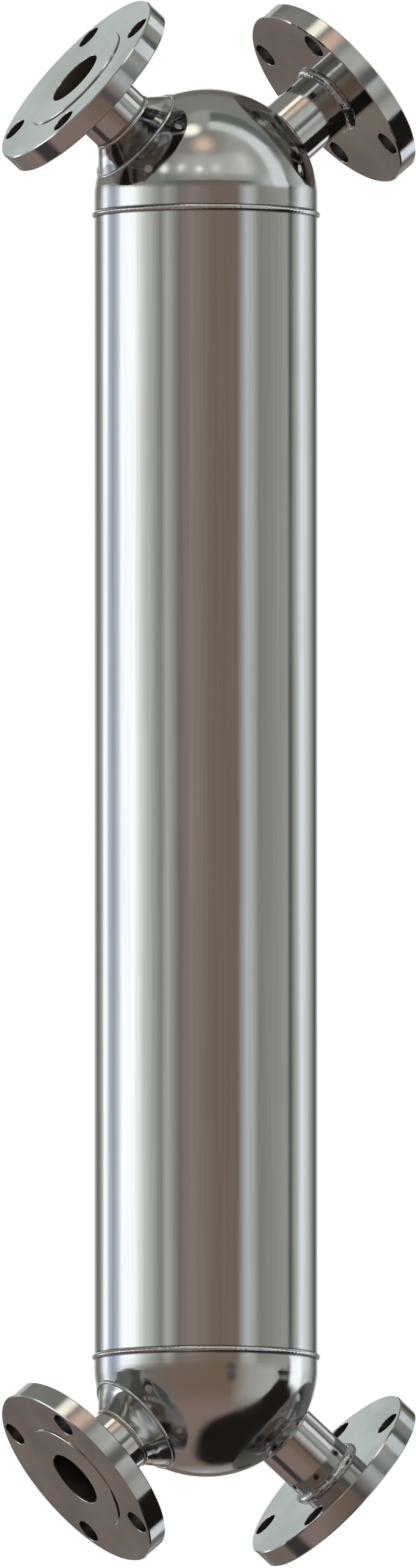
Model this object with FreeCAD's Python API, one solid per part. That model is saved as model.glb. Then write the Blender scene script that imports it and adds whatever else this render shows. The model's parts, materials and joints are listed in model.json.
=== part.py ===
import FreeCAD, Part
import math
import os

# Shell and tube heat exchanger with domed heads and four slanted flanged nozzles.
# Millimetres, +Z up along the shell's axis, nozzles in the XZ plane, tube side towards -X.
# Origin: centre of the raised face of the lower tube-side flange.

# Shell and heads
shell_outer_d = 159.0
shell_wall = 3.0
head_wall = 3.0
tangent_length = 840.6      # between the tangent lines of the two heads
head_height = 76.0          # from the tangent line to the crown, outside
dome_join = 6.0             # degrees up from the rim where the knuckle meets the round crown
upper_skirt = 14.4          # straight part of the upper head, tangent line to weld
lower_skirt = 9.5
girth_weld_width = 4.0
girth_weld_height = 2.0
girth_weld_root = 1.6       # gap between shell and head that the weld fills

# Nozzles
nozzle_angle = 40.0         # degrees above or below the horizontal
tube_side_inset = 4.3       # nozzle axis meets the shell axis this far inside the tangent line
shell_side_inset = 7.0
tube_side_reach = 131.4     # shell axis to flange face, along the nozzle
shell_side_reach = 136.9
pipe_outer_d = 48.3
pipe_wall = 2.6
pipe_projection = 4.0       # how far the shell-side pipe stands into the head

# Flanges
flange_d = 150.0
flange_thickness = 15.5
raised_face_d = 88.0
raised_face_height = 1.0
bolt_circle_d = 125.0
bolt_hole_d = 18.0
bolt_count = 4
socket_depth = 4.0          # how deep the pipe sits in the flange's back
flange_weld_leg = 5.5
flange_weld_fullness = 0.6  # share of the leg; 0.5 is a flat weld face
rim_chamfer = 0.8
edge_chamfer = 0.5

# Tube-side collars
collar_base_d = 76.3        # across the collar's outside where it meets the head
collar_slope = 45.0         # degrees between the collar's wall and the nozzle axis
collar_wall = 2.6
collar_allowance = 6.0      # trimmed off where the collar is cut to the head's curve
collar_weld_radius = 2.2
neck_weld_width = 3.0
neck_weld_height = 0.9
nozzle_weld_radius = 1.6

# Tube bundle
tube_d = 8.0
tube_wall = 0.8
tube_pitch = 11.0
tube_rings = 2              # rings of tubes round the middle one
tube_bend_radius = 70.0
tube_end_proud = 1.0
tube_sheet_d = 60.0
tube_sheet_thickness = 12.0
baffle_count = 3
baffle_thickness = 3.0
baffle_cut = 0.5            # chord of the baffle's cut, as a share of its radius

# Clearances, on the radius
fit_clearance = 0.15
baffle_clearance = 0.5

shell_r = shell_outer_d / 2
pipe_r = pipe_outer_d / 2
bore_r = pipe_r - pipe_wall
tangent_z = tangent_length / 2
tilt = 90.0 - nozzle_angle
far = 4 * shell_outer_d     # longer than any cut needs
tube_side = -1              # towards -X
shell_side = 1

X = FreeCAD.Vector(1, 0, 0)
Y = FreeCAD.Vector(0, 1, 0)
Z = FreeCAD.Vector(0, 0, 1)
CENTRE = FreeCAD.Vector(0, 0, 0)


def at(radius, height):
    """A point of a turned profile."""
    return FreeCAD.Vector(radius, 0, height)


def line(start, end):
    return Part.LineSegment(start, end).toShape()


def arc(start, middle, end):
    return Part.Arc(start, middle, end).toShape()


def turned(edges):
    """The solid that a closed profile sweeps round the Z axis."""
    return Part.Face(Part.Wire(edges)).revolve(CENTRE, Z, 360)


def turned_polygon(points):
    corners = [at(*point) for point in points]
    return turned([line(a, b) for a, b in zip(corners, corners[1:] + corners[:1])])


def ring(inner_r, outer_r, low, high):
    return turned_polygon([(inner_r, low), (outer_r, low), (outer_r, high), (inner_r, high)])


def bead(radius, height, width, proud):
    """A convex weld bead round the outside of a tube."""
    low = at(radius, height - width / 2)
    high = at(radius, height + width / 2)
    return turned([line(high, low), arc(low, at(radius + proud, height), high)])


def nozzle_z(side):
    """Height above the middle where the axes of a side's upper nozzle and the shell meet."""
    inset = tube_side_inset if side == tube_side else shell_side_inset
    return tangent_z - inset


def on_nozzle(shape, side, end):
    """Turn a shape made along +Z onto the nozzle at that side and that end."""
    turn = side * (90.0 - end * nozzle_angle)
    placed = shape.copy()
    place = Z * (end * nozzle_z(side))
    placed.Placement = FreeCAD.Placement(place, FreeCAD.Rotation(Y, turn))
    return placed


# Shell, heads and the welds between them

def dome(radius, height, skirt):
    """A solid dome, a knuckle arc and a crown arc, on a cylinder as long as the skirt."""
    lean = math.radians(dome_join)
    difference = (radius - height) / (math.sin(lean) + math.cos(lean) - 1)
    rim_arc = radius - difference * math.cos(lean)
    crown_arc = rim_arc + difference
    rim_centre = at(radius - rim_arc, 0)
    crown_centre = at(0, height - crown_arc)

    def on_arc(centre, arc_radius, angle):
        return centre + at(math.cos(angle), math.sin(angle)) * arc_radius

    rim = at(radius, 0)
    crown = at(0, height)
    join = on_arc(rim_centre, rim_arc, lean)
    edges = [
        line(at(0, -skirt), at(radius, -skirt)),
        line(at(radius, -skirt), rim),
        arc(rim, on_arc(rim_centre, rim_arc, lean / 2), join),
        arc(join, on_arc(crown_centre, crown_arc, (lean + math.pi / 2) / 2), crown),
        line(crown, at(0, -skirt)),
    ]
    # The seam goes to the side that has no nozzle.
    return turned(edges).rotated(CENTRE, Z, 90)


def at_end(shape, end):
    """Move a head shape to the upper (1) or lower (-1) tangent line."""
    placed = shape.copy()
    turn = 0 if end > 0 else 180
    placed.Placement = FreeCAD.Placement(Z * (end * tangent_z), FreeCAD.Rotation(X, turn))
    return placed


def dome_outside(end):
    return at_end(dome(shell_r, head_height, tangent_z), end)


def make_head(skirt, end):
    rim_z = skirt - girth_weld_root / 2
    outside = dome(shell_r, head_height, rim_z)
    inside = dome(shell_r - head_wall, head_height - head_wall, rim_z + head_wall)
    head = at_end(outside.cut(inside), end)
    tube_hole = Part.makeCylinder(tube_sheet_d / 2 + fit_clearance, far)
    pipe_hole = Part.makeCylinder(pipe_r + fit_clearance, far)
    head = head.cut(on_nozzle(tube_hole, tube_side, end))
    return head.cut(on_nozzle(pipe_hole, shell_side, end))


def weld_height(end):
    skirt = upper_skirt if end > 0 else lower_skirt
    return end * (tangent_z - skirt)


def make_shell():
    low = weld_height(-1) + girth_weld_root / 2
    high = weld_height(1) - girth_weld_root / 2
    return ring(shell_r - shell_wall, shell_r, low, high)


def make_girth_weld(end):
    """A root that fills the gap, under a cap that stands proud of the shell."""
    middle = weld_height(end)
    half_root = girth_weld_root / 2
    half_cap = girth_weld_width / 2
    inner_r = shell_r - shell_wall
    edges = [
        line(at(inner_r, middle - half_root), at(shell_r, middle - half_root)),
        line(at(shell_r, middle - half_root), at(shell_r, middle - half_cap)),
        arc(
            at(shell_r, middle - half_cap),
            at(shell_r + girth_weld_height, middle),
            at(shell_r, middle + half_cap),
        ),
        line(at(shell_r, middle + half_cap), at(shell_r, middle + half_root)),
        line(at(shell_r, middle + half_root), at(inner_r, middle + half_root)),
        line(at(inner_r, middle + half_root), at(inner_r, middle - half_root)),
    ]
    return turned(edges)


# Nozzle pieces, made along +Z with their distance from the shell axis as height

def make_flange(reach):
    back = reach - flange_thickness
    outer_r = flange_d / 2
    raised_r = raised_face_d / 2
    top = reach + raised_face_height
    socket_r = pipe_r + fit_clearance
    flange = turned_polygon([
        (socket_r, back),
        (outer_r - rim_chamfer, back),
        (outer_r, back + rim_chamfer),
        (outer_r, reach - rim_chamfer),
        (outer_r - rim_chamfer, reach),
        (raised_r, reach),
        (raised_r, top - edge_chamfer),
        (raised_r - edge_chamfer, top),
        (bore_r + edge_chamfer, top),
        (bore_r, top - edge_chamfer),
        (bore_r, back + socket_depth),
        (socket_r, back + socket_depth),
    ])
    hole_r = bolt_hole_d / 2
    wide_r = hole_r + edge_chamfer
    hole = turned_polygon([
        (0, back),
        (wide_r, back),
        (hole_r, back + edge_chamfer),
        (hole_r, reach - edge_chamfer),
        (wide_r, reach),
        (0, reach),
    ])
    for number in range(bolt_count):
        angle = math.radians((number + 0.5) * 360 / bolt_count)
        bolt = hole.copy()
        bolt.translate((X * math.cos(angle) + Y * math.sin(angle)) * (bolt_circle_d / 2))
        flange = flange.cut(bolt)
    return flange


def make_pipe(start, reach):
    return ring(bore_r, pipe_r, start, reach - flange_thickness + socket_depth)


def shell_side_pipe_start():
    return head_reach(pipe_r, shell_side) - head_wall - pipe_projection


def make_flange_weld(reach):
    """A convex fillet between the pipe and the flange's back."""
    back = reach - flange_thickness
    leg = flange_weld_leg
    on_pipe = at(pipe_r, back - leg)
    on_flange = at(pipe_r + leg, back)
    crown = at(pipe_r + flange_weld_fullness * leg, back - flange_weld_fullness * leg)
    return turned([
        line(at(pipe_r, back), on_pipe),
        arc(on_pipe, crown, on_flange),
        line(on_flange, at(pipe_r, back)),
    ])


def head_reach(offset, side):
    """Distance along a nozzle to the head's outside, on a line beside the nozzle's axis."""
    ray = line(Y * offset, Y * offset + Z * far)
    return on_nozzle(ray, side, 1).common(dome_outside(1)).Length


def collar_top():
    """The collar's narrow end, along the nozzle."""
    base_r = collar_base_d / 2
    rise = (base_r - pipe_r) / math.tan(math.radians(collar_slope))
    return head_reach(base_r, tube_side) + rise


def collar_cone(radius):
    """A solid cone from its narrow end, with that radius there, down into the head."""
    top = collar_top()
    depth = top - head_reach(collar_base_d / 2, tube_side) + collar_allowance
    spread = depth * math.tan(math.radians(collar_slope))
    return turned_polygon([
        (0, top),
        (radius, top),
        (radius + spread, top - depth),
        (0, top - depth),
    ])


def make_collar(end):
    """A cone from the pipe to the head, clear of the tube sheet and the girth weld."""
    inner_r = pipe_r - collar_wall / math.cos(math.radians(collar_slope))
    cone = collar_cone(pipe_r).cut(collar_cone(inner_r))
    cone = cone.cut(Part.makeCylinder(bore_r, far))
    cone = cone.cut(Part.makeCylinder(tube_sheet_d / 2 + fit_clearance, tube_sheet_face()))
    return on_nozzle(cone, tube_side, end).cut(dome_outside(end)).cut(make_girth_weld(end))


def make_collar_weld(end):
    base_r = collar_base_d / 2
    torus = Part.makeTorus(base_r, collar_weld_radius, Z * head_reach(base_r, tube_side), Z)
    weld = on_nozzle(torus, tube_side, end).cut(dome_outside(end))
    return weld.cut(on_nozzle(collar_cone(pipe_r), tube_side, end))


def make_neck_weld():
    weld = bead(pipe_r, collar_top(), neck_weld_width, neck_weld_height)
    return weld.cut(collar_cone(pipe_r))


def make_nozzle_weld(end):
    torus = Part.makeTorus(pipe_r, nozzle_weld_radius, Z * head_reach(pipe_r, shell_side), Z)
    weld = on_nozzle(torus, shell_side, end).cut(dome_outside(end))
    return weld.cut(on_nozzle(Part.makeCylinder(pipe_r, far), shell_side, end))


# Tube bundle

def tube_places():
    """Places across the bundle on a triangular pitch, ring by ring round the middle."""
    places = []
    for row in range(-tube_rings, tube_rings + 1):
        across = 2 * tube_rings + 1 - abs(row)
        for number in range(across):
            x = (number - (across - 1) / 2) * tube_pitch
            places.append((x, row * tube_pitch * math.sqrt(3) / 2))
    return places


def tube_holes(radius, low, high):
    holes = []
    for x, y in tube_places():
        hole = Part.makeCylinder(radius, high - low, FreeCAD.Vector(x, y, low))
        holes.append(hole)
    return holes


def tube_sheet_face():
    """The sheet's outer face, flush with the head's outside at the sheet's rim."""
    return head_reach(tube_sheet_d / 2, tube_side)


def make_tube_sheet(end):
    low = tube_sheet_face() - tube_sheet_thickness
    plate = Part.makeCylinder(tube_sheet_d / 2, tube_sheet_thickness, Z * low)
    plate = plate.cut(Part.makeCompound(tube_holes(tube_d / 2 + fit_clearance, 0, far)))
    return on_nozzle(plate, tube_side, end)


def tube_path(offset):
    """Straight up the shell, bent towards the tube-side nozzles at both ends."""
    bend = math.radians(tilt)
    tangent = tube_bend_radius * math.tan(bend / 2)
    bend_z = nozzle_z(tube_side) - tangent
    radius = tube_bend_radius + offset
    lead = tube_sheet_face() + tube_end_proud - tangent
    out = FreeCAD.Vector(-math.sin(bend), 0, math.cos(bend))

    def upper(angle):
        return at(radius * math.cos(angle) - tube_bend_radius, bend_z + radius * math.sin(angle))

    def lower(point):
        return at(point.x, -point.z)

    tip = upper(bend) + out * lead
    edges = [
        line(lower(tip), lower(upper(bend))),
        arc(lower(upper(bend)), lower(upper(bend / 2)), lower(upper(0))),
        line(lower(upper(0)), upper(0)),
        arc(upper(0), upper(bend / 2), upper(bend)),
        line(upper(bend), tip),
    ]
    start_direction = FreeCAD.Vector(-out.x, 0, out.z)
    return Part.Wire(edges), lower(tip), start_direction


def make_tube(offset, sideways):
    path, start, direction = tube_path(offset)
    outside = Part.Wire(Part.makeCircle(tube_d / 2, start, direction))
    inside = Part.Wire(Part.makeCircle(tube_d / 2 - tube_wall, start, direction))
    solid = path.makePipe(Part.Face(outside)).cut(path.makePipe(Part.Face(inside)))
    solid.translate(Y * sideways)
    return solid


def make_tube_bundle():
    return Part.makeCompound([make_tube(x, y).Solids[0] for x, y in tube_places()])


def make_baffle(number):
    """A disc cut away on alternate sides, with a hole for each tube."""
    radius = shell_r - shell_wall - baffle_clearance
    height = ((number + 1) / (baffle_count + 1) - 0.5) * 2 * weld_height(1)
    disc = Part.makeCylinder(radius, baffle_thickness, Z * (height - baffle_thickness / 2))
    side = 1 if number % 2 == 0 else -1
    chord = radius * baffle_cut
    corner = FreeCAD.Vector(-far, chord if side > 0 else -chord - far, -far)
    disc = disc.cut(Part.makeBox(2 * far, far, 2 * far, corner))
    holes = tube_holes(tube_d / 2 + fit_clearance, -tangent_z, tangent_z)
    return disc.cut(Part.makeCompound(holes))


def make_parts():
    parts = {
        "shell": make_shell(),
        "upper_head": make_head(upper_skirt, 1),
        "lower_head": make_head(lower_skirt, -1),
        "upper_girth_weld": make_girth_weld(1),
        "lower_girth_weld": make_girth_weld(-1),
        "tube_bundle": make_tube_bundle(),
    }
    for number in range(baffle_count):
        parts[f"baffle_{number + 1}"] = make_baffle(number)
    for level, end in (("upper", 1), ("lower", -1)):
        parts[f"{level}_tube_sheet"] = make_tube_sheet(end)
        parts[f"{level}_collar"] = make_collar(end)
        parts[f"{level}_collar_weld"] = make_collar_weld(end)
        parts[f"{level}_neck_weld"] = on_nozzle(make_neck_weld(), tube_side, end)
        parts[f"{level}_shell_side_nozzle_weld"] = make_nozzle_weld(end)
        for name, side, start, reach in (
            ("tube_side", tube_side, collar_top(), tube_side_reach),
            ("shell_side", shell_side, shell_side_pipe_start(), shell_side_reach),
        ):
            parts[f"{level}_{name}_pipe"] = on_nozzle(make_pipe(start, reach), side, end)
            parts[f"{level}_{name}_flange"] = on_nozzle(make_flange(reach), side, end)
            parts[f"{level}_{name}_flange_weld"] = on_nozzle(make_flange_weld(reach), side, end)
    return parts


def origin_shift():
    """From the middle of the shell to the raised face of the lower tube-side flange."""
    face = tube_side_reach + raised_face_height
    lean = math.radians(nozzle_angle)
    return FreeCAD.Vector(face * math.cos(lean), 0, nozzle_z(tube_side) + face * math.sin(lean))


os.makedirs("parts", exist_ok=True)
for name, shape in make_parts().items():
    shape.translate(origin_shift())
    if len(shape.Solids) == 1:
        shape = shape.Solids[0]
    shape.exportStep(f"parts/{name}.step")
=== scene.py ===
import json
import math
import random

import bpy
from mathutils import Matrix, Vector
from mathutils.bvhtree import BVHTree


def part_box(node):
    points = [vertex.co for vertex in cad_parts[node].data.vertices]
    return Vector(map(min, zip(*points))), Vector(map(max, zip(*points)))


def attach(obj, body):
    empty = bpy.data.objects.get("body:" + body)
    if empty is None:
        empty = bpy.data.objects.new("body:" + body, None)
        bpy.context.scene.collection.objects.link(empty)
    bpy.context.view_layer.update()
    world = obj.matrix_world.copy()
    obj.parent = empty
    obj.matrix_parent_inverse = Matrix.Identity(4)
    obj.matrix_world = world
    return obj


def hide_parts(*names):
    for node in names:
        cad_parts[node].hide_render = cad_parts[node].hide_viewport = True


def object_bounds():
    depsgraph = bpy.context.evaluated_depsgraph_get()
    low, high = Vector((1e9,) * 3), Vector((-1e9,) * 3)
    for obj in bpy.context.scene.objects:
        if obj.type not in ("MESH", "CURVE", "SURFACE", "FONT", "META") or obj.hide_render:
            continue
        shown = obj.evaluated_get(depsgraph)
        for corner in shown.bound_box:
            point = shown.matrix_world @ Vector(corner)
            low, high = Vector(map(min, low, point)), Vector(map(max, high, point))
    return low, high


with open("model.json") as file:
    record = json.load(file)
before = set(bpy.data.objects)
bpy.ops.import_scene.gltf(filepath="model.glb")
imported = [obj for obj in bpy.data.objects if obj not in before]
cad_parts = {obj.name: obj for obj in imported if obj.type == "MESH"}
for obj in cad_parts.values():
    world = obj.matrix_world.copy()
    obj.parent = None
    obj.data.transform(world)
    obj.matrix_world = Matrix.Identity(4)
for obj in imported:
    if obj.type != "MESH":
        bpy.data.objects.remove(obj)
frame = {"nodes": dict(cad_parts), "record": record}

cad_low, cad_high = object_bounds()
scene = bpy.context.scene
MM = 0.001
MICRON = 0.000001

# ---- places taken from the frame ----------------------------------------------------------

MOUNTS = {mount["name"]: mount for mount in frame["record"]["mounts"]}
LEVELS = ("upper", "lower")
SHELL_LOW, SHELL_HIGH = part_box("shell")
SHELL_R = (SHELL_HIGH.x - SHELL_LOW.x) / 2
AXIS = (SHELL_LOW + SHELL_HIGH) / 2
MIDDLE = Vector((AXIS.x, AXIS.y, (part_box("lower_head")[0].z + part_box("upper_head")[1].z) / 2))


class Nozzle:
    """A nozzle's axis, which starts at its flange's face, and the sizes found along it."""

    def __init__(self, name):
        face = MOUNTS[name + "_face"]
        self.name = name
        self.level = name.split("_")[0]
        self.face = Vector(face["pos_m"])
        self.out = Vector(face["axis"]).normalized()
        self.side = Vector((0, 1, 0))
        self.up = self.out.cross(self.side)
        bolts = MOUNTS[name + "_bolts"]["dims"]
        self.bolt_circle_r = bolts["pcd_mm"] / 2 * MM
        self.bolt_hole_r = bolts["hole_r_mm"] * MM
        self.bore_r = MOUNTS[name + "_bore"]["dims"]["r_mm"] * MM
        self.pipe_end, _, self.pipe_r = self.measure(name + "_pipe")
        self.flange_back = self.measure(name + "_flange")[0]

    def measure(self, node):
        """A node's lowest and highest point along the nozzle, and its largest radius."""
        rises, radii = [], []
        for vertex in frame["nodes"][node].data.vertices:
            away = vertex.co - self.face
            rise = away.dot(self.out)
            rises.append(rise)
            radii.append((away - self.out * rise).length)
        return min(rises), max(rises), max(radii)

    def radial(self, angle):
        return self.side * math.cos(angle) + self.up * math.sin(angle)

    def at(self, radius, rise, angle):
        return self.face + self.out * rise + self.radial(angle) * radius


TUBE_SIDE = [Nozzle(level + "_tube_side") for level in LEVELS]
SHELL_SIDE = [Nozzle(level + "_shell_side") for level in LEVELS]
NOZZLES = TUBE_SIDE + SHELL_SIDE


def girth_height(level):
    low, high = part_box(level + "_girth_weld")
    return (low.z + high.z) / 2


# ---- camera -------------------------------------------------------------------------------

VIEW_AZIMUTH = math.radians(-22.85)
VIEW_ELEVATION = math.radians(-4.42)
VIEW_HEIGHT = 1.118
CAMERA_DISTANCE = 1.5
CAMERA_REACH = 100
AIM_RIGHT = 0.00139         # the picture's middle is this far from the object's
AIM_DOWN = 0.0009

TOWARD = Vector((math.sin(VIEW_AZIMUTH), -math.cos(VIEW_AZIMUTH), 0))
RIGHT = Vector((math.cos(VIEW_AZIMUTH), math.sin(VIEW_AZIMUTH), 0))
UP = Vector((0, 0, 1))


def make_camera():
    back = TOWARD * math.cos(VIEW_ELEVATION) + UP * math.sin(VIEW_ELEVATION)
    camera = bpy.data.objects.new("camera", bpy.data.cameras.new("camera"))
    camera.data.type = "ORTHO"
    camera.data.ortho_scale = VIEW_HEIGHT
    camera.data.clip_end = CAMERA_REACH
    aim = MIDDLE + RIGHT * AIM_RIGHT - UP * AIM_DOWN
    camera.location = aim + back * CAMERA_DISTANCE
    camera.rotation_euler = back.to_track_quat("Z", "Y").to_euler()
    scene.collection.objects.link(camera)
    scene.camera = camera


# ---- node helpers ---------------------------------------------------------------------------


class Nodes:
    """A short way to write shader nodes: every call adds one node and gives its output."""

    def __init__(self, tree):
        self.tree = tree
        tree.nodes.clear()

    def add(self, kind, **settings):
        node = self.tree.nodes.new(kind)
        for key, value in settings.items():
            setattr(node, key, value)
        return node

    def feed(self, socket, value):
        if isinstance(value, bpy.types.NodeSocket):
            self.tree.links.new(value, socket)
        elif isinstance(value, (tuple, list, Vector)) and socket.type == "RGBA":
            socket.default_value = (*value[:3], 1)
        else:
            socket.default_value = value

    def math(self, operation, *values):
        node = self.add("ShaderNodeMath", operation=operation)
        for socket, value in zip(node.inputs, values):
            self.feed(socket, value)
        return node.outputs[0]

    def vector(self, operation, *values):
        node = self.add("ShaderNodeVectorMath", operation=operation)
        for socket, value in zip(node.inputs, values):
            self.feed(socket, value)
        return node.outputs["Value" if operation in ("DOT_PRODUCT", "LENGTH") else "Vector"]

    def mix(self, factor, a, b):
        node = self.add("ShaderNodeMix", data_type="RGBA")
        self.feed(node.inputs["Factor"], factor)
        self.feed(node.inputs["A"], a)
        self.feed(node.inputs["B"], b)
        return node.outputs["Result"]

    def blend(self, factor, a, b):
        node = self.add("ShaderNodeMix", data_type="FLOAT")
        self.feed(node.inputs["Factor"], factor)
        self.feed(node.inputs["A"], a)
        self.feed(node.inputs["B"], b)
        return node.outputs["Result"]

    def smooth(self, value, start, end, low=0.0, high=1.0):
        node = self.add("ShaderNodeMapRange", interpolation_type="SMOOTHSTEP")
        for key, number in (("Value", value), ("From Min", start), ("From Max", end),
                            ("To Min", low), ("To Max", high)):
            self.feed(node.inputs[key], number)
        return node.outputs["Result"]

    def noise(self, vector, scale, detail=2.0, roughness=0.5):
        node = self.add("ShaderNodeTexNoise")
        self.feed(node.inputs["Vector"], vector)
        self.feed(node.inputs["Scale"], scale)
        self.feed(node.inputs["Detail"], detail)
        self.feed(node.inputs["Roughness"], roughness)
        return node.outputs["Fac"]

    def combine(self, x=0.0, y=0.0, z=0.0):
        node = self.add("ShaderNodeCombineXYZ")
        for socket, value in zip(node.inputs, (x, y, z)):
            self.feed(socket, value)
        return node.outputs[0]

    def bump(self, height, depth, under=None):
        """Relief of that depth in metres, over another relief if there is one."""
        node = self.add("ShaderNodeBump")
        self.feed(node.inputs["Height"], height)
        self.feed(node.inputs["Distance"], depth)
        if under is not None:
            self.feed(node.inputs["Normal"], under)
        return node.outputs["Normal"]

    def ramp(self, value, stops):
        node = self.add("ShaderNodeValToRGB")
        self.feed(node.inputs["Fac"], value)
        elements = node.color_ramp.elements
        while len(elements) < len(stops):
            elements.new(0.5)
        for element, (place, _) in zip(elements, stops):
            element.position = place
        for element, (_, colour) in zip(elements, stops):
            element.color = (*colour, 1)
        return node.outputs["Color"]


# ---- studio surroundings ----------------------------------------------------------------------
# Azimuth 0 is the side towards the camera and 90 is to its right; elevation is above the
# horizon; both in degrees. Tones are as they show once the steel has mirrored them.

STEEL_REFLECTS = 0.56       # the share of light that the steel mirrors

TONES = {
    "window": (248, 253, 255), "white": (244, 246, 244), "daylight": (214, 222, 228),
    "lamp": (255, 250, 230), "amber": (208, 180, 158), "frost": (200, 204, 205),
    "pale": (190, 196, 186), "door": (180, 188, 184), "haze": (172, 176, 176),
    "blue_haze": (176, 187, 200), "cool": (144, 155, 170), "wall": (162, 164, 158),
    "plaster": (144, 145, 138), "stone": (122, 122, 116), "taupe": (126, 118, 111),
    "shade": (108, 104, 98), "khaki": (96, 92, 84), "brown": (108, 98, 90),
    "table": (108, 92, 80), "table_far": (112, 103, 96), "rim": (120, 106, 98),
    "bottle": (84, 92, 88), "post": (74, 74, 74), "soot": (54, 52, 50), "black": (26, 23, 20),
}

# What stands all round at each height, as azimuth and tone: upright strips at eye level, the
# walls high up, a shelf above eye level, and the table below it.
STRIPS = (
    (-180, "frost"), (-162, "wall"), (-153, "shade"), (-145, "stone"), (-137, "haze"),
    (-132, "window"), (-126, "window"), (-121, "blue_haze"), (-113, "cool"),
    (-105, "blue_haze"), (-98, "window"), (-81, "window"), (-68, "pale"), (-48, "stone"),
    (-41, "wall"), (-28, "shade"), (-14, "taupe"), (8, "brown"), (33, "brown"),
    (43, "haze"), (50, "wall"), (57, "stone"), (93, "plaster"), (98, "soot"),
    (109, "wall"), (118, "daylight"), (127, "frost"), (146, "stone"), (154, "post"),
    (172, "frost"),
)

WALLS = (
    (-180, "shade"), (-140, "stone"), (-90, "khaki"), (-50, "stone"), (-10, "wall"),
    (30, "wall"), (45, "pale"), (60, "plaster"), (100, "stone"), (135, "plaster"),
    (160, "khaki"),
)

SHELF = (
    (-180, "pale"), (-150, "stone"), (-60, "stone"), (-40, "bottle"), (-15, "khaki"),
    (30, "khaki"), (45, "bottle"), (70, "haze"), (95, "stone"), (135, "frost"),
    (160, "khaki"),
)

TABLE = (
    (-180, "haze"), (-165, "table_far"), (-120, "table_far"), (-85, "shade"),
    (-45, "brown"), (-10, "table"), (28, "table"), (45, "plaster"), (75, "wall"),
    (100, "stone"), (150, "shade"),
)

# Flat panels: azimuth, elevation, half width, half height, softness, lean sideways for each
# degree up, and tone.
PANELS = (
    ("right window", 109, -5, 10, 7, 3, -0.3, "window"),
    ("far right window", 136, -22, 9, 10, 4, 0.0, "daylight"),
    ("far right window, upper part", 134, 30, 10, 9, 3, 0.0, "frost"),
    ("window behind", -173, 14, 6, 7, 3, 0.0, "white"),
    ("pale door", -158, 23, 8, 9, 3, 0.0, "door"),
    ("low cupboard", -148, -22, 10, 9, 3, 0.0, "table_far"),
    ("post behind", 161, 20, 5, 8, 4, 0.0, "post"),
    ("chest behind", 180, -15, 14, 11, 3, 0.0, "brown"),
)

# Lamps and other round things: azimuth, elevation, radius and softness in degrees, and tone.
ROUND_THINGS = (
    ("warm shade", -4, 55, 8, 7, "amber"),
    ("main lamp", -40, 71, 7, 4, "lamp"),
    ("row lamp 1", -48, 27, 4, 3, "window"),
    ("row lamp 2", -28, 29, 3, 3, "window"),
    ("row lamp 3", -8, 28, 3, 3, "white"),
    ("row lamp 4", 12, 29, 4, 4, "frost"),
    ("row lamp 5", 28, 27, 3, 3, "haze"),
    ("stool", 27, -14, 5, 4, "post"),
    ("bin under the table", -100, -60, 12, 5, "soot"),
)

# Heights in degrees between which one layer of the studio fades into the next.
CEILING_TO_WALLS = (48, 38)
WALLS_TO_SHELF = (25, 15)
SHELF_TO_TABLE = (1, -1)
TABLE_TO_RIM = (-25, -50)
STRIPS_TOP = (10, 6.5)
STRIPS_FOOT = -1
STRIPS_FOOT_BEHIND = -22.0
STRIPS_FOOT_IN_FRONT = -14.0
BACK_TO_FRONT = (-0.2, 0.2)

# From here on, places are the direction's three parts: toward the camera, to its right and up.
CEILING_MIDDLE = (0.96, 0.99)
CEILING_FRONT = (0.05, 0.25)
CEILING_RIGHT = (0.15, 0.4)
CURTAIN_SLANT = 0.22
CURTAIN_BACK = 0.14
CURTAIN_FRONT = 0.26
CURTAIN_LEFT = 0.04
CURTAIN_FOOT = 0.13
CURTAIN_TOP = (0.85, 0.97)
CURTAIN_SOFT = 0.03
GAP_BACK = 0.17
GAP_FOOT = 0.5
GAP_SOFT = 0.02
CORNER_ROUNDING = 3         # of a soft-edged shape, as a multiple of its softness

# The unlit floor's edges, as steps sideways or forwards for each step down.
DARK_NEAR = 0.63
DARK_FAR = 1.05
DARK_LEFT = 0.14
DARK_ROUNDING = 1.1
DARK_SOFT = 0.07
DARK_BELOW = (0.12, 0.2)
LEAST_STEP_DOWN = 0.05

CAMERA_SEES = (1, 1, 1)
SOFT_LIGHT = (0.9, 0.9, 0.88)


def linear(value):
    """An sRGB value, 0 to 255, as a share of the light."""
    share = value / 255
    return share / 12.92 if share <= 0.04045 else ((share + 0.055) / 1.055) ** 2.4


def display(tone):
    """The light that shows as this tone once the steel has mirrored it."""
    return tuple(linear(value) / STEEL_REFLECTS for value in TONES[tone])


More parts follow.
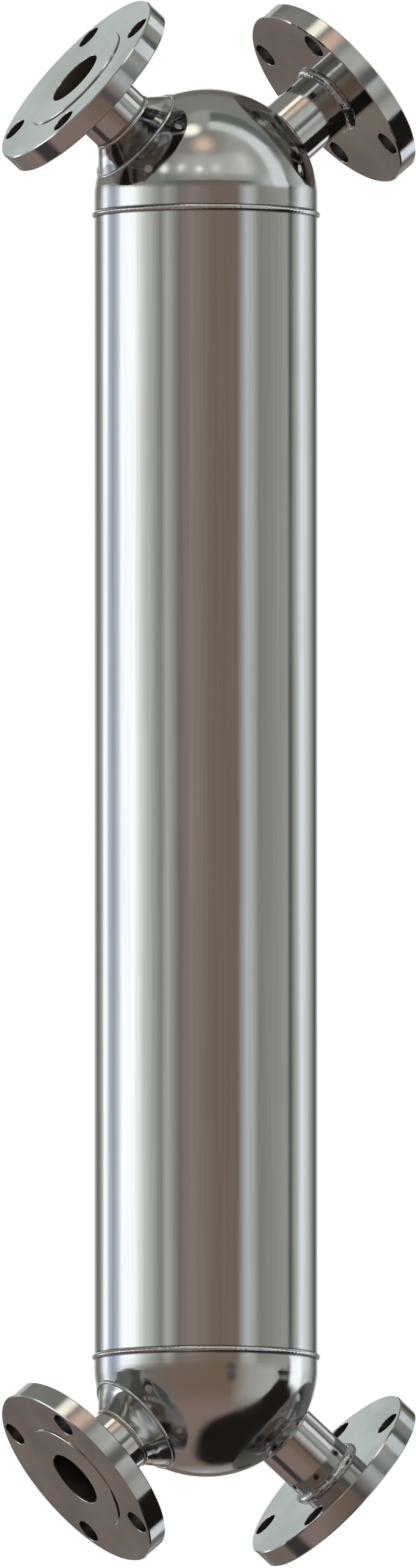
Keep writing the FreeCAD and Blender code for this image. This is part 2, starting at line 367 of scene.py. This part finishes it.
class Directions:
    """The direction that the world is asked for, as outputs of world nodes."""

    def __init__(self, n):
        self.n = n
        self.looked = n.add("ShaderNodeTexCoord").outputs["Generated"]
        self.toward = n.vector("DOT_PRODUCT", self.looked, tuple(TOWARD))
        self.across = n.vector("DOT_PRODUCT", self.looked, tuple(RIGHT))
        self.up = n.vector("DOT_PRODUCT", self.looked, tuple(UP))
        turn = n.math("ARCTAN2", self.across, self.toward)
        self.turn = n.math("MULTIPLY", turn, 180 / math.pi)
        self.rise = n.math("MULTIPLY", n.math("ARCSINE", self.up), 180 / math.pi)
        self.share = n.math("DIVIDE", n.math("ADD", self.turn, 180.0), 360.0)

    def all_round(self, stops):
        """Tones round the horizon, joined up behind the object."""
        places = [((place + 180) / 360, display(tone)) for place, tone in stops]
        places.append((1.0, places[0][1]))
        return self.n.ramp(self.share, places)

    def panel(self, place, height, half_wide, half_high, soft, lean):
        n = self.n
        away = n.math("SUBTRACT", self.turn, place)
        if lean:
            above = n.math("SUBTRACT", self.rise, height)
            away = n.math("SUBTRACT", away, n.math("MULTIPLY", above, lean))
        away = n.math("ABSOLUTE", n.math("WRAP", away, 180.0, -180.0))
        beyond = n.math("SUBTRACT", away, half_wide)
        over = n.math("ABSOLUTE", n.math("SUBTRACT", self.rise, height))
        over = n.math("SUBTRACT", over, half_high)
        return n.smooth(n.math("MAXIMUM", beyond, over), soft, -soft)

    def disc(self, place, height, radius, soft):
        n = self.n
        turn, rise = math.radians(place), math.radians(height)
        level = TOWARD * math.cos(turn) + RIGHT * math.sin(turn)
        aim = level * math.cos(rise) + UP * math.sin(rise)
        away = n.vector("LENGTH", n.vector("SUBTRACT", self.looked, tuple(aim)))
        near, far = math.radians(radius - soft), math.radians(radius + soft)
        return n.smooth(away, far, near)

    def within(self, soft, *depths):
        """1 where every depth is above 0, with soft edges and rounded corners."""
        deepest = depths[0]
        for depth in depths[1:]:
            deepest = self.n.math("SMOOTH_MIN", deepest, depth, soft * CORNER_ROUNDING)
        return self.n.smooth(deepest, -soft, soft)


def ceiling(n, d):
    """Plaster overhead, darker towards the walls, and lighter in front on the right."""
    tone = n.mix(n.smooth(d.up, *CEILING_MIDDLE), display("stone"), display("plaster"))
    front, right = n.smooth(d.toward, *CEILING_FRONT), n.smooth(d.across, *CEILING_RIGHT)
    return n.mix(n.math("MULTIPLY", front, right), tone, display("plaster"))


def curtain(n, d, colour):
    """A pale curtain on the right from the table to the ceiling, and the gap behind it."""
    edge = n.math("SUBTRACT", n.math("MULTIPLY", d.up, CURTAIN_SLANT), CURTAIN_BACK)
    inside = n.math("SUBTRACT", d.toward, edge)
    front = n.math("SUBTRACT", CURTAIN_FRONT, d.toward)
    right = n.math("SUBTRACT", d.across, CURTAIN_LEFT)
    above = n.math("SUBTRACT", d.up, CURTAIN_FOOT)
    cloth = n.mix(n.smooth(d.up, *CURTAIN_TOP), display("frost"), display("pale"))
    colour = n.mix(d.within(CURTAIN_SOFT, inside, front, right, above), colour, cloth)
    outside = n.math("MULTIPLY", inside, -1.0)
    behind = n.math("ADD", d.toward, GAP_BACK)
    high = n.math("SUBTRACT", d.up, GAP_FOOT)
    return n.mix(d.within(GAP_SOFT, outside, behind, right, high), colour, display("bottle"))


def dark_floor(n, d, colour):
    """The unlit floor beyond the table's rounded corner, on the right and under it."""
    down = n.math("MULTIPLY", d.up, -1.0)
    depth = n.math("MAXIMUM", down, LEAST_STEP_DOWN)
    along = n.math("DIVIDE", d.toward, depth)
    sideways = n.math("DIVIDE", d.across, depth)
    near = n.math("SUBTRACT", DARK_NEAR, along)
    far = n.math("ADD", along, DARK_FAR)
    left = n.math("ADD", sideways, DARK_LEFT)
    edge = n.math("SMOOTH_MIN", near, left, DARK_ROUNDING)
    edge = n.smooth(n.math("SMOOTH_MIN", edge, far, DARK_ROUNDING), -DARK_SOFT, DARK_SOFT)
    below = n.smooth(down, *DARK_BELOW)
    return n.mix(n.math("MULTIPLY", edge, below), colour, display("black"))


def surroundings(n, d):
    """The colour of the studio in each direction."""
    colour = n.mix(n.smooth(d.rise, *CEILING_TO_WALLS), ceiling(n, d), d.all_round(WALLS))
    colour = n.mix(n.smooth(d.rise, *WALLS_TO_SHELF), colour, d.all_round(SHELF))
    table = n.mix(n.smooth(d.rise, *TABLE_TO_RIM), d.all_round(TABLE), display("rim"))
    colour = n.mix(n.smooth(d.rise, *SHELF_TO_TABLE), colour, table)
    foot = n.smooth(d.toward, *BACK_TO_FRONT, STRIPS_FOOT_BEHIND, STRIPS_FOOT_IN_FRONT)
    top, foot = n.smooth(d.rise, *STRIPS_TOP), n.smooth(d.rise, foot, STRIPS_FOOT)
    colour = n.mix(n.math("MULTIPLY", top, foot), colour, d.all_round(STRIPS))
    colour = curtain(n, d, colour)
    colour = dark_floor(n, d, colour)
    for _, place, height, wide, high, soft, lean, tone in PANELS:
        colour = n.mix(d.panel(place, height, wide, high, soft, lean), colour, display(tone))
    for _, place, height, radius, soft, tone in ROUND_THINGS:
        colour = n.mix(d.disc(place, height, radius, soft), colour, display(tone))
    return colour


def background(n, colour):
    node = n.add("ShaderNodeBackground")
    n.feed(node.inputs["Color"], colour)
    return node.outputs[0]


def either(n, factor, a, b):
    """The first shader where the factor is 0, and the second where it is 1."""
    node = n.add("ShaderNodeMixShader")
    for socket, value in zip(node.inputs, (factor, a, b)):
        n.tree.links.new(value, socket)
    return node.outputs[0]


def make_world():
    """The studio for what the steel mirrors, soft light for the floor, white for the camera."""
    world = bpy.data.worlds.new("studio")
    scene.world = world
    world.use_nodes = True
    n = Nodes(world.node_tree)
    studio = background(n, surroundings(n, Directions(n)))
    path = n.add("ShaderNodeLightPath").outputs
    seen = either(n, path["Is Diffuse Ray"], studio, background(n, SOFT_LIGHT))
    shown = either(n, path["Is Camera Ray"], seen, background(n, CAMERA_SEES))
    out = n.add("ShaderNodeOutputWorld")
    n.tree.links.new(shown, out.inputs["Surface"])
    scene.view_settings.view_transform = "Standard"


# ---- floor and light --------------------------------------------------------------------------

FLOOR_DROP = 0.2            # below the object, out of the upward view that the camera has
FLOOR_SIZE = 24.0
FLOOR_COLOURS = ((0.86, 0.86, 0.85), (0.9, 0.9, 0.89))
LIGHT_SIZE = 3.0
LIGHT_POWER = 60
LIGHT_HEIGHT = 2.5          # above the object's middle


def make_material(name, fill):
    """A node material whose shader the function fill sets up."""
    material = bpy.data.materials.new(name)
    material.use_nodes = True
    n = Nodes(material.node_tree)
    shader = n.add("ShaderNodeBsdfPrincipled")
    place = n.add("ShaderNodeTexCoord").outputs["Object"]
    fill(n, shader.inputs, place)
    out = n.add("ShaderNodeOutputMaterial")
    n.tree.links.new(shader.outputs[0], out.inputs["Surface"])
    return material


def pale_floor(n, sockets, place):
    shade = n.noise(place, 1.5, detail=3)
    n.feed(sockets["Base Color"], n.mix(shade, *FLOOR_COLOURS))
    n.feed(sockets["Roughness"], 0.8)
    n.feed(sockets["Specular IOR Level"], 0.2)


def make_floor():
    half = FLOOR_SIZE / 2
    z = cad_low.z - FLOOR_DROP
    corners = [(MIDDLE.x + a * half, MIDDLE.y + b * half, z)
               for a, b in ((-1, -1), (1, -1), (1, 1), (-1, 1))]
    mesh = bpy.data.meshes.new("studio_floor")
    mesh.from_pydata(corners, [], [(0, 1, 2, 3)])
    floor = bpy.data.objects.new("studio_floor", mesh)
    mesh.materials.append(make_material("pale_floor", pale_floor))
    floor.visible_glossy = False
    scene.collection.objects.link(floor)


def make_light():
    """A wide soft light overhead for the floor; the steel is lit by what it mirrors."""
    light = bpy.data.objects.new("soft_light", bpy.data.lights.new("soft_light", "AREA"))
    light.data.size = LIGHT_SIZE
    light.data.energy = LIGHT_POWER
    light.location = MIDDLE + UP * LIGHT_HEIGHT
    light.visible_glossy = False
    scene.collection.objects.link(light)


# ---- materials ---------------------------------------------------------------------------------
# Every noise scale below is in patches for each metre, and every relief's depth is in metres.

# The two colours that each steel varies between, and the two roughnesses.
STEELS = {
    "shell": ((0.52, 0.52, 0.515), (0.585, 0.585, 0.58)),
    "head": ((0.52, 0.52, 0.52), (0.585, 0.585, 0.58)),
    "pipe": ((0.53, 0.53, 0.525), (0.585, 0.585, 0.58)),
    "flange": ((0.45, 0.455, 0.455), (0.59, 0.59, 0.585)),
    "collar": ((0.38, 0.38, 0.37), (0.74, 0.74, 0.73)),
    "inside": ((0.4, 0.4, 0.395), (0.55, 0.55, 0.54)),
}
POLISH = {
    "shell": (0.045, 0.085), "head": (0.06, 0.17), "flange": (0.05, 0.12),
    "collar": (0.14, 0.07), "inside": (0.28, 0.42), "weld": (0.08, 0.25),
}
PIPE_POLISH = 0.09
BORE_POLISH = 0.35
HOLE_POLISH = 0.4
EDGE_TINT = (0.8, 0.8, 0.8)
# Painted shade for the bores, the crevice at a pipe's end and the bolt holes, laid over their
# duller finish.
BORE_PAINTED_SHADE = (0.3, 0.26, 0.23)
HOLE_PAINTED_SHADE = (0.16, 0.15, 0.14)

# Noise values between which a surface goes from one of its colours or polishes to the other.
STREAKED = (0.3, 0.7)
HAZY = (0.35, 0.7)
STAINED = (0.35, 0.65)
CLOUDED = (0.4, 0.7)
BANDED = (0.38, 0.6)
SPECKLED = (0.66, 0.78)

# Painted shade along both edges of each girth weld: its colour, how far it reaches and how
# strongly it darkens.
PAINTED_TOE_SHADE = (0.1, 0.095, 0.09)
TOE_REACH = (3.0 * MM, 2.4 * MM)
TOE_SHADE_STRENGTH = 0.8
HEAD_HEIGHT = 76 * MM
KNUCKLE_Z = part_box("lower_head")[0].z + HEAD_HEIGHT     # end of the straight edge
KNUCKLE_HALF = 9.5 * MM
KNUCKLE_DEPTH = 1.3 * MM
CREVICE_END = (3.3 * MM, 2.7 * MM)      # above the pipe's end
INSIDE_WALL = (0.5 * MM, 1 * MM)        # below the pipe's outside
HOLE_EDGE = 0.15 * MM
SLOW_ROUND = 0.35           # how much slower a collar's bands change round it than along it

WELD_TINTS = ((0.0, (0.48, 0.43, 0.37)), (0.42, (0.6, 0.59, 0.58)),
              (0.55, (0.67, 0.68, 0.7)), (0.7, (0.48, 0.52, 0.58)))
SCALE_SPECK = (0.15, 0.145, 0.14)


def metal(n, sockets, colour, roughness, normal):
    n.feed(sockets["Metallic"], 1.0)
    n.feed(sockets["Base Color"], colour)
    n.feed(sockets["Roughness"], roughness)
    n.feed(sockets["Specular Tint"], EDGE_TINT)
    n.feed(sockets["Normal"], normal)


def stretched(n, place, x, y, z):
    return n.vector("MULTIPLY", place, (x, y, z))


def painted_toe_shade(n, height):
    """Painted shade: dark lines along both edges of the girth welds, where the weld toes fall in
    shade.
    """
    lines = 0.0
    for level in LEVELS:
        away = n.math("ABSOLUTE", n.math("SUBTRACT", height, girth_height(level)))
        line = n.math("MULTIPLY", n.smooth(away, *TOE_REACH), TOE_SHADE_STRENGTH)
        lines = n.math("MAXIMUM", lines, line)
    return lines


def polished_shell(n, sockets, place):
    """Mirror-polished tube: faint lengthwise waves, and fine streaks from the polishing belt."""
    waves = n.noise(stretched(n, place, 1, 1, 0.09), 22, detail=1)
    streaks = n.noise(stretched(n, place, 1, 1, 0.012), 450, detail=3, roughness=0.6)
    normal = n.bump(streaks, 1 * MICRON, n.bump(waves, 0.14 * MM))
    haze = n.noise(place, 9, detail=4)
    height = n.vector("DOT_PRODUCT", place, tuple(UP))
    colour = n.mix(n.smooth(streaks, *STREAKED), *STEELS["shell"])
    # painted shade along the edges of the girth welds
    colour = n.mix(painted_toe_shade(n, height), colour, PAINTED_TOE_SHADE)
    metal(n, sockets, colour, n.smooth(haze, *HAZY, *POLISH["shell"]), normal)


def polished_head(level):
    """Pressed and polished: soft dents, and a thin haze of fine scratches in all directions."""
    def fill(n, sockets, place):
        dents = n.noise(place, 42, detail=2)
        scratches = n.noise(place, 900, detail=3, roughness=0.7)
        normal = n.bump(scratches, 1.2 * MICRON, n.bump(dents, 0.18 * MM))
        height = n.vector("DOT_PRODUCT", place, tuple(UP))
        if level == "lower":
            turn_in = n.smooth(height, KNUCKLE_Z - KNUCKLE_HALF, KNUCKLE_Z + KNUCKLE_HALF)
            normal = n.bump(turn_in, KNUCKLE_DEPTH, normal)
        haze = n.noise(place, 26, detail=4)
        colour = n.mix(haze, *STEELS["head"])
        # painted shade along the edges of the girth welds
        colour = n.mix(painted_toe_shade(n, height), colour, PAINTED_TOE_SHADE)
        metal(n, sockets, colour, n.smooth(haze, *HAZY, *POLISH["head"]), normal)
    return fill


def nozzle_places(n, place, nozzle):
    """Where a point is along a nozzle, to each side of its axis, and away from it."""
    away = n.vector("SUBTRACT", place, tuple(nozzle.face))
    rise = n.vector("DOT_PRODUCT", away, tuple(nozzle.out))
    side = n.vector("DOT_PRODUCT", away, tuple(nozzle.side))
    up = n.vector("DOT_PRODUCT", away, tuple(nozzle.up))
    return rise, side, up, n.vector("LENGTH", n.combine(side, up))


def polished_pipe(nozzle, crevice):
    """Drawn and polished pipe, dull inside and darkened there with painted shade, and with painted
    shade in the crevice at its end by the collar.
    """
    def fill(n, sockets, place):
        rise, _, _, radius = nozzle_places(n, place, nozzle)
        turned = n.noise(n.combine(rise, 0.0, 0.0), 1500, detail=2)
        dents = n.noise(place, 60, detail=2)
        normal = n.bump(turned, 1 * MICRON, n.bump(dents, 0.09 * MM))
        # Painted shade: the inside wall, and the crevice by the collar, are darkened in colour as
        # well as made duller.
        dark = n.smooth(radius, *(nozzle.pipe_r - depth for depth in INSIDE_WALL))
        if crevice:
            above = n.math("SUBTRACT", rise, nozzle.pipe_end)
            dark = n.math("MAXIMUM", dark, n.smooth(above, *CREVICE_END))
        colour = n.mix(n.smooth(turned, *STREAKED), *STEELS["pipe"])
        colour = n.mix(dark, colour, BORE_PAINTED_SHADE)
        metal(n, sockets, colour, n.blend(dark, PIPE_POLISH, BORE_POLISH), normal)
    return fill


def machined_flange(nozzle):
    """Turned rings on the faces, lines round the rim, and dull bores and bolt holes darkened with
    painted shade.
    """
    corner = nozzle.bolt_circle_r * math.sqrt(0.5)

    def fill(n, sockets, place):
        rise, side, up, radius = nozzle_places(n, place, nozzle)
        rings = n.noise(n.combine(radius, 0.0, 0.0), 900, detail=3, roughness=0.7)
        lines = n.noise(n.combine(rise, 0.0, 0.0), 700, detail=3, roughness=0.7)
        clouds = n.noise(place, 50, detail=3)
        normal = n.bump(lines, 0.6 * MICRON, n.bump(rings, 0.9 * MICRON))
        normal = n.bump(clouds, 0.08 * MM, normal)
        hole_side = n.math("SUBTRACT", n.math("ABSOLUTE", side), corner)
        hole_up = n.math("SUBTRACT", n.math("ABSOLUTE", up), corner)
        from_hole = n.vector("LENGTH", n.combine(hole_side, hole_up))
        in_hole, in_bore = (
            n.smooth(away, edge + 2 * HOLE_EDGE, edge + HOLE_EDGE)
            for away, edge in ((from_hole, nozzle.bolt_hole_r), (radius, nozzle.bore_r)))
        dark = n.math("MAXIMUM", in_hole, in_bore)
        stains = n.smooth(n.noise(place, 16, detail=4), *STAINED)
        colour = n.mix(stains, *STEELS["flange"])
        # painted shade in the bolt holes and the bore, over their duller finish
        colour = n.mix(in_hole, n.mix(in_bore, colour, BORE_PAINTED_SHADE), HOLE_PAINTED_SHADE)
        roughness = n.smooth(clouds, *CLOUDED, *POLISH["flange"])
        metal(n, sockets, colour, n.blend(dark, roughness, HOLE_POLISH), normal)
    return fill


def collar_steel(nozzle):
    """Worked by hand on a wheel, round the nozzle: uneven bands, some dull and some bright."""
    def fill(n, sockets, place):
        rise, side, up, _ = nozzle_places(n, place, nozzle)
        slow_side, slow_up = (n.math("MULTIPLY", way, SLOW_ROUND) for way in (side, up))
        bands = n.noise(n.combine(rise, slow_side, slow_up), 130, detail=1)
        grain = n.noise(place, 700, detail=2)
        normal = n.bump(grain, 1.5 * MICRON, n.bump(bands, 0.4 * MM))
        land = n.smooth(bands, *BANDED)
        colour = n.mix(land, *STEELS["collar"])
        metal(n, sockets, colour, n.blend(land, *POLISH["collar"]), normal)
    return fill


def weld_metal(n, sockets, place):
    """Bright weld metal with faint straw and blue heat tints and dark specks of scale."""
    tint = n.noise(place, 160, detail=2)
    grain = n.noise(place, 1000, detail=2)
    specks = n.noise(place, 300, detail=3, roughness=0.7)
    colour = n.mix(n.smooth(specks, *SPECKLED), n.ramp(tint, WELD_TINTS), SCALE_SPECK)
    roughness = n.smooth(specks, *CLOUDED, *POLISH["weld"])
    metal(n, sockets, colour, roughness, n.bump(grain, 3 * MICRON))


def dull_steel(n, sockets, place):
    """Drawn tube and cut plate inside the shell, left as it came."""
    marks = n.noise(stretched(n, place, 1, 1, 0.05), 500, detail=3)
    colour = n.mix(marks, *STEELS["inside"])
    roughness = n.smooth(marks, *STREAKED, *POLISH["inside"])
    metal(n, sockets, colour, roughness, n.bump(marks, 6 * MICRON))


def cover(node, material):
    for slot in frame["nodes"][node].material_slots:
        slot.material = material


def dress_cad_nodes():
    cover("shell", make_material("polished_shell", polished_shell))
    dull = make_material("dull_steel", dull_steel)
    for level in LEVELS:
        cover(level + "_head", make_material(level + "_head", polished_head(level)))
        cover(level + "_tube_sheet", dull)
    for nozzle in TUBE_SIDE:
        collar = collar_steel(nozzle)
        cover(nozzle.level + "_collar", make_material(nozzle.level + "_collar", collar))
    for node in ("tube_bundle", "baffle_1", "baffle_2", "baffle_3"):
        cover(node, dull)
    for nozzle in NOZZLES:
        # the tube side's pipes get painted shade in the crevice by the collar
        pipe = polished_pipe(nozzle, crevice=nozzle in TUBE_SIDE)
        cover(nozzle.name + "_pipe", make_material(nozzle.name + "_pipe", pipe))
        flange = machined_flange(nozzle)
        cover(nozzle.name + "_flange", make_material(nozzle.name + "_flange", flange))


# ---- weld beads ---------------------------------------------------------------------------------

RIPPLE_STEPS = 6
SECTION_STEPS = 14
ROOT_DEPTH = 0.35           # how far the bead reaches into the metal, as a share of its height
RIPPLE_SINK = 0.1           # how much lower the end of a ripple is than its start
LEAST_RIPPLES = 12
THICK_SHARE = 0.5           # shares of a bead's unevenness
JITTER_SHARE = 0.6
DRIFT_SHARE = 0.3
LEAN_SHARE = 0.3
WANDER_PARTS = 6
WANDER_SIZES = (0.2, 0.5)
LEAST_WAVES = 2
THICK_WAVES, DRIFT_WAVES, LEAN_WAVES = 9, 7, 40


class Bead:
    """The sizes of a weld bead and how evenly it was laid."""

    def __init__(self, wide, high, ripple, uneven):
        self.wide = wide
        self.high = high
        self.ripple = ripple
        self.uneven = uneven


def wander(rng, waves):
    """A smooth closed random curve about 0 over a whole turn, mostly between -1 and 1."""
    parts = []
    for _ in range(WANDER_PARTS):
        number = rng.randint(LEAST_WAVES, waves)
        start = rng.uniform(0, 2 * math.pi)
        parts.append((number, start, rng.uniform(*WANDER_SIZES)))

    def value(turn):
        return sum(size * math.sin(number * turn + start) for number, start, size in parts)
    return value


def make_bead(node, place, length, bead, material, seed):
    """A closed rippled bead; place(turn) gives its middle, the way out and the way across."""
    rng = random.Random(seed)
    ripples = max(LEAST_RIPPLES, round(length / bead.ripple))
    steps = ripples * RIPPLE_STEPS
    thick, drift, lean = (wander(rng, waves) for waves in (THICK_WAVES, DRIFT_WAVES, LEAN_WAVES))
    jitter = [rng.uniform(-1, 1) for _ in range(ripples)]
    points, faces = [], []
    for step in range(steps):
        turn = 2 * math.pi * step / steps
        ripple, phase = divmod(step, RIPPLE_STEPS)
        sunk = 1 - RIPPLE_SINK * (phase / RIPPLE_STEPS) ** 2
        uneven = THICK_SHARE * thick(turn) + JITTER_SHARE * jitter[ripple]
        size = sunk * (1 + bead.uneven * uneven)
        middle, away, across = place(turn)
        middle = middle + across * (bead.wide * bead.uneven * DRIFT_SHARE * drift(turn))
        half = bead.wide / 2 * (1 + bead.uneven * LEAN_SHARE * lean(turn))
        for number in range(SECTION_STEPS):
            angle = 2 * math.pi * number / SECTION_STEPS
            high = math.sin(angle) * bead.high
            high *= size if high > 0 else ROOT_DEPTH
            points.append(middle + away * high + across * (math.cos(angle) * half))
    for step in range(steps):
        for number in range(SECTION_STEPS):
            here, beyond = step * SECTION_STEPS, (step + 1) % steps * SECTION_STEPS
            after = (number + 1) % SECTION_STEPS
            faces.append((here + number, beyond + number, beyond + after, here + after))
    mesh = bpy.data.meshes.new(node + "_bead")
    mesh.from_pydata(points, [], faces)
    mesh.materials.append(material)
    for face in mesh.polygons:
        face.use_smooth = True
    piece = bpy.data.objects.new(node + "_bead", mesh)
    scene.collection.objects.link(piece)
    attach(piece, "root")
    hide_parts(node)


def tree_of(node):
    mesh = frame["nodes"][node].data
    return BVHTree.FromPolygons([v.co for v in mesh.vertices], [f.vertices for f in mesh.polygons])


def girth_place(height):
    """Round the shell at that height."""
    def place(turn):
        away = Vector((math.cos(turn), math.sin(turn), 0))
        middle = Vector((AXIS.x, AXIS.y, height)) + away * SHELL_R
        return middle, away, Vector((0, 0, 1))
    return place


def fillet_place(nozzle, throat):
    """Round the corner between a pipe and its flange's back, that far out of the corner."""
    step = throat * math.sqrt(0.5)
    return ring_place(nozzle, nozzle.pipe_r + step, nozzle.flange_back - step, math.radians(45))


def ring_place(nozzle, radius, rise, lean):
    """Round a nozzle; lean turns the way out from radial towards the head."""
    def place(turn):
        radial = nozzle.radial(turn)
        away = radial * math.cos(lean) - nozzle.out * math.sin(lean)
        across = radial * math.sin(lean) + nozzle.out * math.cos(lean)
        return nozzle.at(radius, rise, turn), away, across
    return place


def seam_place(nozzle, head, radius, rise, slope):
    """Along the line where a cone or tube round the nozzle, from that ring, meets the head."""
    def place(turn):
        radial = nozzle.radial(turn)
        down = radial * math.sin(slope) - nozzle.out * math.cos(slope)
        flank = radial * math.cos(slope) + nozzle.out * math.sin(slope)
        middle, normal, _, _ = head.ray_cast(nozzle.at(radius, rise, turn), down)
        away = (flank + normal).normalized()
        seam = flank.cross(normal).normalized()
        return middle, away, away.cross(seam)
    return place


GIRTH_BEAD = Bead(4.0 * MM, 1.8 * MM, 4.0 * MM, 0.03)
FLANGE_BEAD = Bead(5.8 * MM, 1.7 * MM, 3.2 * MM, 0.3)
COLLAR_BEAD = Bead(3.0 * MM, 1.2 * MM, 2.4 * MM, 0.08)
NECK_BEAD = Bead(3.6 * MM, 1.0 * MM, 2.0 * MM, 0.06)
NOZZLE_BEAD = Bead(1.8 * MM, 0.6 * MM, 1.4 * MM, 0.15)
COLLAR_SLOPE = math.radians(45)
COLLAR_SEAM_LENGTH = 1.6    # a collar's seam, as a multiple of the way round the pipe
FILLET_THROAT = 2.3 * MM
NECK_DROP = 0.4 * MM        # middle of the neck's bead, below the collar's narrow end
SEAM_OUT = 0.4 * MM         # middle of a plain nozzle's bead, out from the pipe
FLANGE_SEED, NECK_SEED, COLLAR_SEED, NOZZLE_SEED = 10, 20, 30, 40


def make_welds():
    material = make_material("weld_metal", weld_metal)
    for number, level in enumerate(LEVELS):
        place = girth_place(girth_height(level))
        length = 2 * math.pi * SHELL_R
        make_bead(level + "_girth_weld", place, length, GIRTH_BEAD, material, number)
    for number, nozzle in enumerate(NOZZLES):
        length = 2 * math.pi * nozzle.pipe_r
        node, seed = nozzle.name + "_flange_weld", FLANGE_SEED + number
        place = fillet_place(nozzle, FILLET_THROAT)
        make_bead(node, place, length, FLANGE_BEAD, material, seed)
    for number, nozzle in enumerate(TUBE_SIDE):
        head = tree_of(nozzle.level + "_head")
        length = 2 * math.pi * nozzle.pipe_r
        node, seed = nozzle.level + "_neck_weld", NECK_SEED + number
        place = ring_place(nozzle, nozzle.pipe_r, nozzle.pipe_end - NECK_DROP, 0)
        make_bead(node, place, length, NECK_BEAD, material, seed)
        node, seed = nozzle.level + "_collar_weld", COLLAR_SEED + number
        place = seam_place(nozzle, head, nozzle.pipe_r, nozzle.pipe_end, COLLAR_SLOPE)
        make_bead(node, place, length * COLLAR_SEAM_LENGTH, COLLAR_BEAD, material, seed)
    for number, nozzle in enumerate(SHELL_SIDE):
        head = tree_of(nozzle.level + "_head")
        length = 2 * math.pi * nozzle.pipe_r
        node, seed = nozzle.level + "_shell_side_nozzle_weld", NOZZLE_SEED + number
        place = seam_place(nozzle, head, nozzle.pipe_r + SEAM_OUT, nozzle.flange_back, 0)
        make_bead(node, place, length, NOZZLE_BEAD, material, seed)


# ---- the whole scene ----------------------------------------------------------------------------

make_camera()
make_world()
make_floor()
make_light()
dress_cad_nodes()
make_welds()
